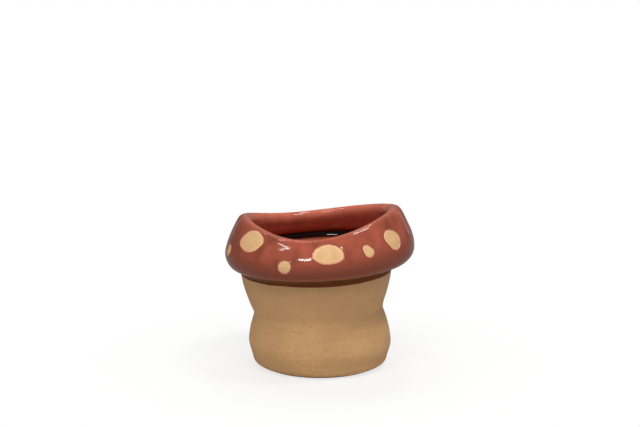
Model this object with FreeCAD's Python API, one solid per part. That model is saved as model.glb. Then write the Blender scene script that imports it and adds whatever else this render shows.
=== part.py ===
"""Toadstool flower pot: a waisted stoneware stalk under a glazed, spotted cap that is open at the top.

Millimetres, +Z up, origin on the table under the middle of the cap, front at -Y and right at +X.
The stalk is bare clay. The cap is a separate bowl, set on the stalk's neck with slip, and tilts.
"""
import FreeCAD, Part

import math
import os

from FreeCAD import Placement, Rotation, Vector

# Stalk: radius of its waist, and how far the other rings of the clay stand out from one another
WAIST_RADIUS = 52.2
BELLY_BULGE = 4.6
HEEL_TUCK = 3.0
FOOT_TUCK = 8.2
NECK_FLARE = 8.2
STALK_WALL = 6.0

# Stalk: height of its heel, and how far each ring stands above the one below
HEEL_HEIGHT = 7.0
BELLY_RISE = 11.5
WAIST_RISE = 26.5
NECK_RISE = 35.0

# Lean of the hand-built stalk to the left, and the tilt of its waist and neck, right side up
WAIST_OFFSET = 1.3
NECK_OFFSET = 3.06
NECK_TILT_DEGREES = 2.9

# Shares of the rise, and of the change of radius, between two named rings of the stalk
HEEL_SHARES = ((0.32, 0.6), (1.0, 1.0))
WAIST_SHARES = ((0.33, 0.14), (0.6, 0.47), (1.0, 1.0))
NECK_SHARES = ((0.314, 0.354), (0.514, 0.616), (0.714, 0.83), (1.0, 1.0))

# Floor: a slab of clay let into the foot, on a ledge, and bedded in slip
FLOOR_RECESS = 2.5
FLOOR_THICKNESS = 6.0
LEDGE_WIDTH = 6.0
HOLLOW_TAPER = 1.5
FLOOR_COIL_REACH = 4.0
COIL_DEGREES = 45.0
SLIP_THICKNESS = 0.8

# Cap: how far its clay stands out over the neck, and its heights above the plane of the neck
CAP_OVERHANG = 14.25
CAP_RISE = 13.77
CAP_SHIFT = 3.5
CAP_WALL = 5.0
CURL_RADIUS = 11.63
CURL_DEGREES = 81.0
CURL_RING_SHARES = (1.0, 0.66, 0.33, 0.0)
UNDERSIDE_RING_SHARE = 0.5

# Lip of the cap: thicker than the curl by its swell, high at the left and right and low at the front and back
# like a saddle, canted up to one bearing, and with three shallow hand-pressed waves, one of them cresting at
# a bearing of its own
LIP_INSET = 14.68
LIP_SWELL = 1.8
LIP_CLIMB = 24.84
LIP_SHIFT = 1.25
LIP_SADDLE = 5.59
LIP_CANT = 1.56
LIP_CANT_DEGREES = -28.7
LIP_RIPPLE = 1.34
LIP_RIPPLE_DEGREES = -44.2
LIP_DEGREES = (25.0, 58.0)

# Flank of the cap between its widest ring and its lip: curve handles, and where rings are set along it
FLANK_LOWER_HANDLE_SHARE = 0.276
FLANK_UPPER_HANDLE_SHARES = (0.413, 0.722)
FLANK_RING_SHARES = (0.25, 0.5, 0.75)
FLANK_SWELL_SHARES = (0.6, 1.5, 1.9)
RING_POINTS = 24

# Coats: glaze over the cap and through the inside, a brown band brushed round the neck over the seam, and
# patches of pale slip in windows of the glaze. Each lies a hair clear of the clay, so no curved face cuts in
COAT_CLEARANCE = 0.1
GLAZE_THICKNESS = 0.7
BAND_THICKNESS = 0.5
BAND_DROP = 3.7
BAND_TILT_DEGREES = 1.5
SPOT_THICKNESS = 0.45
SPOT_MARGIN = 0.35
SPOT_REACH = 11.5
SPOT_POINTS = 12
WINDOW_DEPTH = 4.0
SPOT_STEP_SHARE = 0.01

# Each spot: bearing round the cap in degrees, share of the way up the flank, half width and half height as
# shares of a large spot's reach, turn in degrees, and the shares by which its outline swells in two lobes
# and in three, with the bearing of the lobes in degrees
SPOT_SHARES = {
    "spot_front_large": (-84.7, 0.569, 0.98, 0.66, -6.0, 0.0, 0.03, 90.0),
    "spot_front_small": (-111.0, 0.13, 0.395, 0.365, 0.0, 0.0, 0.02, 154.0),
    "spot_left_large": (-141.1, 0.734, 1.12, 0.63, -7.7, 0.18, 0.02, 74.0),
    "spot_left_edge": (-164.1, 0.255, 0.47, 0.42, 0.0, 0.0, 0.04, 20.0),
    "spot_right_pair": (-59.0, 0.422, 0.347, 0.354, 0.0, 0.137, 0.065, 116.0),
    "spot_right_oval": (-37.4, 0.517, 0.677, 0.665, -2.0, 0.1, 0.06, 139.0),
    "spot_right_edge": (5.0, 0.3, 0.54, 0.45, 0.0, 0.0, 0.05, 75.0),
    "spot_back_right_large": (27.0, 0.6, 0.9, 0.66, 8.0, 0.0, 0.05, 30.0),
    "spot_back_right_small": (54.0, 0.2, 0.38, 0.37, 0.0, 0.0, 0.04, 50.0),
    "spot_back_large": (86.0, 0.56, 0.94, 0.68, -6.0, 0.0, 0.06, 80.0),
    "spot_back_left_small": (113.0, 0.22, 0.42, 0.39, 0.0, 0.0, 0.04, 15.0),
    "spot_back_left_oval": (139.0, 0.58, 0.8, 0.64, 12.0, 0.0, 0.05, 55.0),
    "spot_left_small": (168.0, 0.62, 0.43, 0.41, 0.0, 0.0, 0.03, 35.0),
}

# Rings that follow from the sizes above
BELLY_RADIUS = WAIST_RADIUS + BELLY_BULGE
HEEL_RADIUS = BELLY_RADIUS - HEEL_TUCK
FOOT_RADIUS = HEEL_RADIUS - FOOT_TUCK
NECK_RADIUS = WAIST_RADIUS + NECK_FLARE
BELLY_HEIGHT = HEEL_HEIGHT + BELLY_RISE
WAIST_HEIGHT = BELLY_HEIGHT + WAIST_RISE
NECK_HEIGHT = WAIST_HEIGHT + NECK_RISE
FLOOR_TOP = FLOOR_RECESS + FLOOR_THICKNESS
FLOOR_HOLLOW_RADIUS = HEEL_RADIUS - STALK_WALL - HOLLOW_TAPER
CAP_RADIUS = NECK_RADIUS + CAP_OVERHANG
LIP_RADIUS = CAP_RADIUS - LIP_INSET
LIP_ROUND = (CAP_WALL + LIP_SWELL) / 2
COIL_SLOPE = math.radians(COIL_DEGREES)
NECK_FRAME = Placement(
    Vector(-NECK_OFFSET, 0, NECK_HEIGHT),
    Rotation(Vector(0, 1, 0), -NECK_TILT_DEGREES),
)


def between(start, end, share):
    """Value at a share of the way from start to end."""
    return start + (end - start) * share


def stalk_rows():
    """Rings outside the stalk, from foot to neck: height, radius, lean and tilt of each."""
    rows = [(0, FOOT_RADIUS, 0, 0)]
    for rise, widening in HEEL_SHARES:
        rows.append((HEEL_HEIGHT * rise, between(FOOT_RADIUS, HEEL_RADIUS, widening), 0, 0))
    rows.append((BELLY_HEIGHT, BELLY_RADIUS, 0, 0))
    for rise, widening in WAIST_SHARES:
        height = between(BELLY_HEIGHT, WAIST_HEIGHT, rise)
        radius = between(BELLY_RADIUS, WAIST_RADIUS, widening)
        rows.append((height, radius, -WAIST_OFFSET * rise, NECK_TILT_DEGREES * rise))
    for rise, widening in NECK_SHARES:
        height = between(WAIST_HEIGHT, NECK_HEIGHT, rise)
        radius = between(WAIST_RADIUS, NECK_RADIUS, widening)
        rows.append((height, radius, -between(WAIST_OFFSET, NECK_OFFSET, rise), NECK_TILT_DEGREES))
    return rows


def ring_points(radius):
    """Points round a level circle about the origin."""
    turns = [2 * math.pi * index / RING_POINTS for index in range(RING_POINTS)]
    return [Vector(radius * math.cos(turn), radius * math.sin(turn), 0) for turn in turns]


def skin(rings):
    """Smooth surface through closed rings of points, each with the same count of points."""
    turns = list(range(RING_POINTS + 1))
    quarter = RING_POINTS // 4
    climb = [0]
    for lower, upper in zip(rings, rings[1:]):
        climb.append(climb[-1] + (upper[quarter] - lower[quarter]).Length)
    ring_poles = []
    for ring in rings:
        around = Part.BSplineCurve()
        around.interpolate(Points=ring, PeriodicFlag=True, Parameters=turns)
        ring_poles.append(around.getPoles())
    columns = []
    for column in zip(*ring_poles):
        upward = Part.BSplineCurve()
        upward.interpolate(Points=list(column), Parameters=climb)
        columns.append(upward.getPoles())
    surface = Part.BSplineSurface()
    surface.buildFromPolesMultsKnots(
        columns, around.getMultiplicities(), upward.getMultiplicities(),
        around.getKnots(), upward.getKnots(), True, False, around.Degree, upward.Degree,
    )
    return surface


def end_wires(surface):
    """First and last ring of a skin, as closed wires."""
    ends = surface.bounds()[2:]
    return [Part.Wire([surface.vIso(end).toShape()]) for end in ends]


def sewn(faces):
    """Solid enclosed by faces that meet edge to edge."""
    shell = Part.makeCompound(faces)
    shell.sewShape()
    solid = Part.makeSolid(shell.Shells[0])
    if solid.Volume < 0:
        solid.reverse()
    return solid


def stalk_solid(rows, inset):
    """Smooth solid through the stalk's rings, each drawn in by the inset, with flat ends."""
    rings = []
    for height, radius, lean, tilt in rows:
        place = Placement(Vector(lean, 0, height), Rotation(Vector(0, 1, 0), -tilt))
        rings.append([place.multVec(point) for point in ring_points(radius - inset)])
    surface = skin(rings)
    return sewn([surface.toShape()] + [Part.Face(wire) for wire in end_wires(surface)])


def stalk_hollow(inset):
    """Space inside the stalk's wall, from the floor's ledge to the neck, drawn in by a further inset."""
    ledge = (FLOOR_RECESS, FLOOR_HOLLOW_RADIUS + STALK_WALL, 0, 0)
    rows = [row for row in stalk_rows() if row[0] >= HEEL_HEIGHT]
    return stalk_solid([ledge] + rows, STALK_WALL + inset)


def level_block(low, high):
    """Wide block between two heights, to part the stalk's solids at a level."""
    reach = CAP_RADIUS + CAP_SHIFT
    return Part.makeBox(reach + reach, reach + reach, high - low, Vector(-reach, -reach, low))


def stalk_body():
    """Stalk with its hollow and the bore of its foot ring, up to the plane where the cap starts."""
    bore = Part.makeCylinder(FLOOR_HOLLOW_RADIUS - LEDGE_WIDTH, FLOOR_RECESS)
    return stalk_solid(stalk_rows(), 0).cut(stalk_hollow(0)).cut(bore)


def neck_slip_zone():
    """Block above the seat of the stalk's neck, one layer of slip under the plane of the cap."""
    zone = level_block(-SLIP_THICKNESS, SLIP_THICKNESS)
    zone.Placement = NECK_FRAME
    return zone


def neck_glaze():
    """Band of glaze on the stalk, from the plane of the cap down to a level a little under the seam."""
    zone = level_block(-BAND_DROP, NECK_RADIUS)
    zone.Placement = Placement(NECK_FRAME.Base, Rotation(Vector(0, 1, 0), -BAND_TILT_DEGREES))
    outside = stalk_solid(stalk_rows(), -BAND_THICKNESS)
    return outside.cut(stalk_solid(stalk_rows(), -COAT_CLEARANCE)).common(zone)


def floor_slab():
    """Round slab that closes the foot, with room for slip round its edge."""
    radius = FLOOR_HOLLOW_RADIUS - SLIP_THICKNESS
    return Part.makeCylinder(radius, FLOOR_THICKNESS, Vector(0, 0, FLOOR_RECESS))


def floor_slip():
    """Slip that beds the edge of the floor slab in the wall."""
    return stalk_hollow(0).common(level_block(0, FLOOR_TOP)).cut(floor_slab())


def pot_space(inset):
    """Inside of the stalk above the floor and above the coil in its corner, drawn in by an inset."""
    low = FLOOR_TOP + inset
    height = NECK_HEIGHT + CAP_RISE - low
    foot = HEEL_RADIUS - STALK_WALL - FLOOR_COIL_REACH - inset * math.tan(COIL_SLOPE / 2)
    funnel = Part.makeCone(foot, foot + height / math.tan(COIL_SLOPE), height, Vector(0, 0, low))
    return stalk_hollow(inset).common(funnel)


def floor_coil():
    """Coil of clay that is pressed into the corner between floor and wall."""
    corner = stalk_hollow(0).common(level_block(FLOOR_TOP, BELLY_HEIGHT))
    return corner.cut(pot_space(0))


def lip_height(angle):
    """Height of the lip's crest above the neck at an angle round the cap."""
    cant = LIP_CANT * math.cos(angle - math.radians(LIP_CANT_DEGREES))
    ripple = LIP_RIPPLE * math.cos(3 * (angle - math.radians(LIP_RIPPLE_DEGREES)))
    return CAP_RISE + LIP_CLIMB + LIP_SADDLE * math.cos(2 * angle) + cant + ripple


def lip_centre(angle):
    """Middle of the lip's round section at an angle: radius and height."""
    return LIP_RADIUS, lip_height(angle) - LIP_ROUND


def round_row(centre, radius, degrees, offset, side):
    """Point of a round part of the cap's section, with its normal turned to the side that is meant."""
    turn = math.radians(degrees)
    across, up = math.cos(turn), math.sin(turn)
    return centre[0] + radius * across, centre[1] + radius * up, offset, side * across, side * up


def flank_row(angle, share, depth):
    """Point of the flank at a share of the way up it, at a depth under the outside, with its normal."""
    end = round_row(lip_centre(angle), LIP_ROUND, LIP_DEGREES[0], CAP_SHIFT + LIP_SHIFT, 1)
    rise = end[1] - CAP_RISE
    in_share, up_share = FLANK_UPPER_HANDLE_SHARES
    points = [
        (CAP_RADIUS, CAP_RISE),
        (CAP_RADIUS, CAP_RISE + rise * FLANK_LOWER_HANDLE_SHARE),
        (between(end[0], CAP_RADIUS, in_share), CAP_RISE + rise * up_share),
        end,
    ]
    rest = 1 - share
    weights = (rest ** 3, 3 * rest * rest * share, 3 * rest * share * share, share ** 3)
    slopes = (rest * rest, 2 * rest * share, share * share)
    radius = sum(weight * point[0] for weight, point in zip(weights, points))
    height = sum(weight * point[1] for weight, point in zip(weights, points))
    run = sum(slope * (b[0] - a[0]) for slope, a, b in zip(slopes, points, points[1:]))
    climb = sum(slope * (b[1] - a[1]) for slope, a, b in zip(slopes, points, points[1:]))
    length = math.hypot(run, climb)
    across, up = climb / length, -run / length
    offset = CAP_SHIFT + LIP_SHIFT * (height - CAP_RISE) / rise
    return radius - depth * across, height - depth * up, offset, across, up


def underside_row(neck, curl):
    """Point between the neck and the curl, on the outside or the inside of the underside."""
    share = UNDERSIDE_RING_SHARE
    across, up = neck[3] + curl[3], neck[4] + curl[4]
    length = math.hypot(across, up)
    radius, height, offset = [between(low, high, share) for low, high in zip(neck[:3], curl[:3])]
    return radius, height, offset, across / length, up / length


def cap_section(angle):
    """Section of the cap at an angle, as the rows outside and inside from the neck to the lip's crest.

    A row holds radius, height, offset to the right, and the normal across and up.
    """
    curl = (CAP_RADIUS - CURL_RADIUS, CAP_RISE)
    lip = lip_centre(angle)
    sides = []
    outside, inside = (1, 0, 0, NECK_RADIUS), (-1, CAP_WALL, LIP_SWELL, NECK_RADIUS - STALK_WALL)
    for side, depth, swell, neck_radius in (outside, inside):
        neck = (neck_radius, 0, 0, side, 0)
        curl_rows = []
        for share in CURL_RING_SHARES:
            curl_rows.append(round_row(curl, CURL_RADIUS - depth, -CURL_DEGREES * share, CAP_SHIFT, side))
        rows = [neck, underside_row(neck, curl_rows[0])] + curl_rows
        for share, swell_share in zip(FLANK_RING_SHARES, FLANK_SWELL_SHARES):
            radius, height, offset, across, up = flank_row(angle, share, depth + swell * swell_share)
            rows.append((radius, height, offset, side * across, side * up))
        for degrees in LIP_DEGREES + (90,):
            turn = degrees if side > 0 else 180 - degrees
            rows.append(round_row(lip, LIP_ROUND, turn, CAP_SHIFT + LIP_SHIFT, 1))
        sides.append(rows)
    return sides


def cap_rings(inside, coat):
    """Closed rings round the cap from the neck to the crest, outside or inside, raised by a coat."""
    rows_by_angle = []
    for index in range(RING_POINTS):
        angle = 2 * math.pi * index / RING_POINTS
        rows_by_angle.append((angle, cap_section(angle)[inside]))
    rings = []
    for level in range(len(rows_by_angle[0][1])):
        points = []
        for angle, rows in rows_by_angle:
            radius, height, offset, across, up = rows[level]
            radius += coat * across
            x = offset + radius * math.cos(angle)
            points.append(Vector(x, radius * math.sin(angle), height + coat * up))
        rings.append(points)
    return rings


def closed_wall(first_rings, second_rings):
    """Solid between two skins through rings, with a flat seat at the neck and a closed crest."""
    skins = [skin(first_rings), skin(second_rings)]
    ends = [end_wires(surface) for surface in skins]
    faces = [surface.toShape() for surface in skins]
    inner, outer = sorted((ends[0][0], ends[1][0]), key=lambda wire: wire.Length)
    faces += Part.Face(outer).cut(Part.Face(inner)).Faces
    if (first_rings[-1][0] - second_rings[-1][0]).Length > 0:
        faces.append(Part.makeRuledSurface(ends[0][1].Edges[0], ends[1][1].Edges[0]))
    wall = sewn(faces)
    wall.Placement = NECK_FRAME
    return wall


def cap_shell():
    """Clay bowl of the cap."""
    return closed_wall(cap_rings(0, 0), cap_rings(1, 0))


def outer_coat(thickness):
    """Even coat over the outside of the cap, from the neck to the crest of the lip."""
    return closed_wall(cap_rings(0, COAT_CLEARANCE), cap_rings(0, thickness))


def lining_glaze():
    """Glaze through the inside of the pot, from the crest of the lip to the floor."""
    cap_part = closed_wall(cap_rings(1, COAT_CLEARANCE), cap_rings(1, GLAZE_THICKNESS))
    stalk_part = pot_space(COAT_CLEARANCE).cut(pot_space(GLAZE_THICKNESS))
    return cap_part.fuse(stalk_part)


def flank_point(degrees, share):
    """Point on the clay outside of the flank, in the pot's own frame."""
    angle = math.radians(degrees)
    radius, height, offset = flank_row(angle, share, 0)[:3]
    local = Vector(offset + radius * math.cos(angle), radius * math.sin(angle), height)
    return NECK_FRAME.multVec(local)


def spot_frame(degrees, share):
    """Placement on the flank with X along the cap, Y up it and Z out of it."""
    centre = flank_point(degrees, share)
    step = math.degrees(SPOT_STEP_SHARE)
    along = flank_point(degrees + step, share) - flank_point(degrees - step, share)
    upward = flank_point(degrees, share + SPOT_STEP_SHARE) - flank_point(degrees, share - SPOT_STEP_SHARE)
    return Placement(centre, Rotation(along, upward, along.cross(upward), "ZXY"))


def spot_prism(spot, margin):
    """Prism through the cap's surface with the outline of a spot, widened by a margin."""
    degrees, share, width_share, height_share, turn, two_share, three_share, lobe_degrees = spot
    points = []
    for index in range(SPOT_POINTS):
        angle = 2 * math.pi * index / SPOT_POINTS
        lobe = angle - math.radians(lobe_degrees)
        swell = 1 + two_share * math.cos(2 * lobe) + three_share * math.cos(3 * lobe)
        x = (SPOT_REACH * width_share * swell + margin) * math.cos(angle)
        y = (SPOT_REACH * height_share * swell + margin) * math.sin(angle)
        points.append(Vector(x, y, -WINDOW_DEPTH))
    outline = Part.BSplineCurve()
    outline.interpolate(Points=points, PeriodicFlag=True)
    face = Part.Face(Part.Wire([outline.toShape()]))
    prism = face.extrude(Vector(0, 0, WINDOW_DEPTH + WINDOW_DEPTH))
    turned = Placement(Vector(0, 0, 0), Rotation(Vector(0, 0, 1), turn))
    prism.Placement = spot_frame(degrees, share) * turned
    return prism


def main():
    """Build every piece and write it out."""
    body = stalk_body()
    zone = neck_slip_zone()
    slip_coat = outer_coat(SPOT_THICKNESS)
    windows = [spot_prism(spot, SPOT_MARGIN) for spot in SPOT_SHARES.values()]
    pieces = {
        "stalk_wall": body.cut(zone),
        "neck_slip": body.common(zone),
        "floor_slab": floor_slab(),
        "floor_slip": floor_slip(),
        "floor_coil": floor_coil(),
        "cap_shell": cap_shell(),
        "cap_glaze": outer_coat(GLAZE_THICKNESS).cut(windows),
        "neck_glaze": neck_glaze(),
        "lining_glaze": lining_glaze(),
    }
    for name, spot in SPOT_SHARES.items():
        pieces[name] = slip_coat.common(spot_prism(spot, 0))
    os.makedirs("parts", exist_ok=True)
    for name, shape in pieces.items():
        solids = shape.Solids
        piece = solids[0] if len(solids) == 1 else Part.makeCompound(solids)
        piece.exportStep(f"parts/{name}.step")
        print(f"{name}: {len(solids)} solid, {piece.Volume:.1f} mm3, valid {piece.isValid()}")


main()
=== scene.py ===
"""Toadstool flower pot: a glazed, spotted cap on a bare clay stalk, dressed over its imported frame.

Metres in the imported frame: +Z up, front at -Y, right at +X. Sizes in the pot's classes are millimetres,
and metres in the studio's.
"""

import logging
import math
from dataclasses import dataclass
from enum import Enum

import bmesh
import bpy
from mathutils import Matrix, Vector, noise


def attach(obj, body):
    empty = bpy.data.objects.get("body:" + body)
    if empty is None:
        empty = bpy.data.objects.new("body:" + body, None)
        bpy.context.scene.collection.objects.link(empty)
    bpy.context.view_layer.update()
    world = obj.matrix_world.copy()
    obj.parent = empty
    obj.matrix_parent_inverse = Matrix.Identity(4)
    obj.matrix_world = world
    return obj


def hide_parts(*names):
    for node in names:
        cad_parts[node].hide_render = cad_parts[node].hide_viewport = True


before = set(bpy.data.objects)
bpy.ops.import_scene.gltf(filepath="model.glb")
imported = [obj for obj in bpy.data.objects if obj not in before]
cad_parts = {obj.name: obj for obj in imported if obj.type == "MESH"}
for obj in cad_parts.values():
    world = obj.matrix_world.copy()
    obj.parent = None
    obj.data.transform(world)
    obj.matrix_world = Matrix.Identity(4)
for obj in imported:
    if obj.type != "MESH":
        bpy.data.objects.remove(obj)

LOG = logging.getLogger("toadstool_pot")
MM = 0.001
FULL_TURN = 2 * math.pi
Colour = tuple[float, float, float, float]
Span = tuple[float, float]
Triple = tuple[float, float, float]
WHITE: Colour = (1.0, 1.0, 1.0, 1.0)
Mesh = bmesh.types.BMesh
Layer = bmesh.types.BMLayerItem
Material = bpy.types.Material
Socket = bpy.types.NodeSocket


class Side(Enum):
    """Skin of the cap that is meant."""

    OUTSIDE = 1
    INSIDE = -1


def smooth_step(low: float, high: float, value: float) -> float:
    """Rises smoothly from 0 at low to 1 at high.

    Args:
        low: Value where the rise starts.
        high: Value where the rise ends.
        value: Value to place between them.

    Returns:
        The height of the rise, 0 to 1.
    """
    share = min(max((value - low) / (high - low), 0.0), 1.0)
    return share * share * (3 - 2 * share)


def on_ring(radius: float, angle: float, height: float) -> Vector:
    """Point on a level ring round the upright axis."""
    return Vector((radius * math.cos(angle), radius * math.sin(angle), height))


class Spline:
    """Natural cubic curve of one value through knots."""

    def __init__(self, knots: list[float], values: list[float]) -> None:
        """Solves for the curvature at each knot.

        Args:
            knots: Rising places of the knots.
            values: Value at each knot.
        """
        self.knots, self.values = knots, values
        last = len(knots) - 1
        self.bends = [0.0] * (last + 1)
        ratio, rest = [0.0] * (last + 1), [0.0] * (last + 1)
        for i in range(1, last):
            before, after = knots[i] - knots[i - 1], knots[i + 1] - knots[i]
            slope = (values[i + 1] - values[i]) / after - (values[i] - values[i - 1]) / before
            pivot = 2 * (before + after) - before * ratio[i - 1]
            ratio[i] = after / pivot
            rest[i] = (6 * slope - before * rest[i - 1]) / pivot
        for i in range(last - 1, 0, -1):
            self.bends[i] = rest[i] - ratio[i] * self.bends[i + 1]

    def at(self, place: float) -> float:
        """Value of the curve at a place.

        Args:
            place: Place along the knots, held inside them.

        Returns:
            The value there.
        """
        knots = self.knots
        place = min(max(place, knots[0]), knots[-1])
        i = 0
        while i < len(knots) - 2 and place > knots[i + 1]:
            i += 1
        width = knots[i + 1] - knots[i]
        a, b = (knots[i + 1] - place) / width, (place - knots[i]) / width
        bend = ((a ** 3 - a) * self.bends[i] + (b ** 3 - b) * self.bends[i + 1]) * width * width / 6
        return a * self.values[i] + b * self.values[i + 1] + bend


class Section:
    """Smooth line through rows of radius, height and offset, walked from 0 to 1 by its length."""

    def __init__(self, rows: list[Triple]) -> None:
        """Threads the curves.

        Args:
            rows: Radius, height and offset to the right of each point.
        """
        lengths = [0.0]
        for low, high in zip(rows, rows[1:]):
            lengths.append(lengths[-1] + math.hypot(high[0] - low[0], high[1] - low[1]))
        places = [length / lengths[-1] for length in lengths]
        self.curves = [Spline(places, [row[axis] for row in rows]) for axis in range(3)]

    def at(self, place: float) -> Triple:
        """Radius, height and offset at a share of the line's length."""
        radius, height, offset = self.curves
        return radius.at(place), height.at(place), offset.at(place)


@dataclass(frozen=True)
class Waviness:
    """Uneven swelling of hand work: its height, its waves per unit and where its chance is read from."""

    height: float
    waves: float
    seed: Triple = (0.0, 0.0, 0.0)

    def at(self, point: Vector) -> float:
        """Height of the swelling at a point."""
        return self.height * noise.noise(point * self.waves + Vector(self.seed))


@dataclass
class StalkForm:
    """Shape of the stalk in millimetres: rings of height, radius, offset and tilt in degrees."""

    rings: tuple[tuple[float, float, float, float], ...] = (
        (0.0, 45.6, 0.0, 0.0), (2.24, 50.52, 0.0, 0.0), (7.0, 53.8, 0.0, 0.0), (18.5, 56.8, 0.0, 0.0),
        (27.25, 56.16, -0.43, 0.96), (34.4, 54.64, -0.78, 1.74), (45.0, 52.2, -1.3, 2.9),
        (55.99, 55.1, -1.85, 2.9), (62.99, 57.25, -2.2, 2.9), (69.99, 59.0, -2.56, 2.9),
        (80.0, 60.4, -3.06, 2.9),
    )
    wall: float = 6.0
    slip: float = 0.8
    recess: float = 2.5
    floor_top: float = 8.5
    hollow_radius: float = 46.3
    hollow_start: float = 7.0
    ledge: float = 6.0
    coil_foot: float = 43.8
    skin: Waviness = Waviness(0.35, 2.1, (3.7, 0.4, 1.9))
    skin_radius: float = 52.0
    ridges: Waviness = Waviness(0.07, 1.0)
    ridge_reach: float = 0.8
    ridge_pitch: float = 3.6
    crease: float = 0.7
    crease_height: float = 45.0
    crease_width: float = 3.2
    crease_climb: float = 1.6
    crease_wander: Waviness = Waviness(1.0, 1.7, (9.2, 5.1, 0.0))
    crease_shares: Triple = (0.3, 0.5, 0.4)
    foot_fade: Span = (0.0, 4.0)
    neck_fade: Span = (70.0, 77.0)

    def __post_init__(self) -> None:
        """Threads curves of radius, offset and tilt over the height."""
        heights = [ring[0] for ring in self.rings]
        self.radius, self.offset, self.tilt = (
            Spline(heights, [ring[axis] for ring in self.rings]) for axis in (1, 2, 3)
        )

    def inside_line(self) -> Section:
        """Inside of the wall.

        Returns:
            Its line from the neck down to the ledge of the floor.
        """
        rows = [(self.hollow_radius, self.recess, 0.0)]
        rows += [(ring[1] - self.wall, ring[0], 0.0) for ring in self.rings if ring[0] >= self.hollow_start]
        return Section(rows[::-1])

    def unevenness(self, angle: float, height: float) -> float:
        """Millimetres by which the hand-worked outside stands out.

        Args:
            angle: Bearing round the stalk.
            height: Height in millimetres.

        Returns:
            The swelling of the skin and its turning ridges, less the crease at the waist.
        """
        around = on_ring(1.0, angle, height / self.skin_radius)
        turning = on_ring(self.ridge_reach, angle, height / self.ridge_pitch)
        wander = self.crease_wander.at(around)
        away = height - self.crease_height - self.crease_climb * wander
        everywhere, sides, chance = self.crease_shares
        depth = self.crease * (everywhere + sides * math.cos(angle) ** 2 + chance * wander)
        fold = depth * math.exp(-(away / self.crease_width) ** 2)
        swell = self.skin.at(around) + self.ridges.at(turning) - fold
        return swell * smooth_step(*self.foot_fade, height) * (1 - smooth_step(*self.neck_fade, height))

    def place(self, angle: float, height: float, lift: float) -> Vector:
        """Point on the stalk in metres.

        Args:
            angle: Bearing round the stalk.
            height: Height of the ring in millimetres.
            lift: Millimetres outside the clay, negative inside it.

        Returns:
            The point in the pot's frame.
        """
        radius = self.radius.at(height) + lift
        tilt = math.radians(self.tilt.at(height))
        across = radius * math.cos(angle)
        return MM * Vector((
            self.offset.at(height) + across * math.cos(tilt),
            radius * math.sin(angle),
            height + across * math.sin(tilt),
        ))


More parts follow.
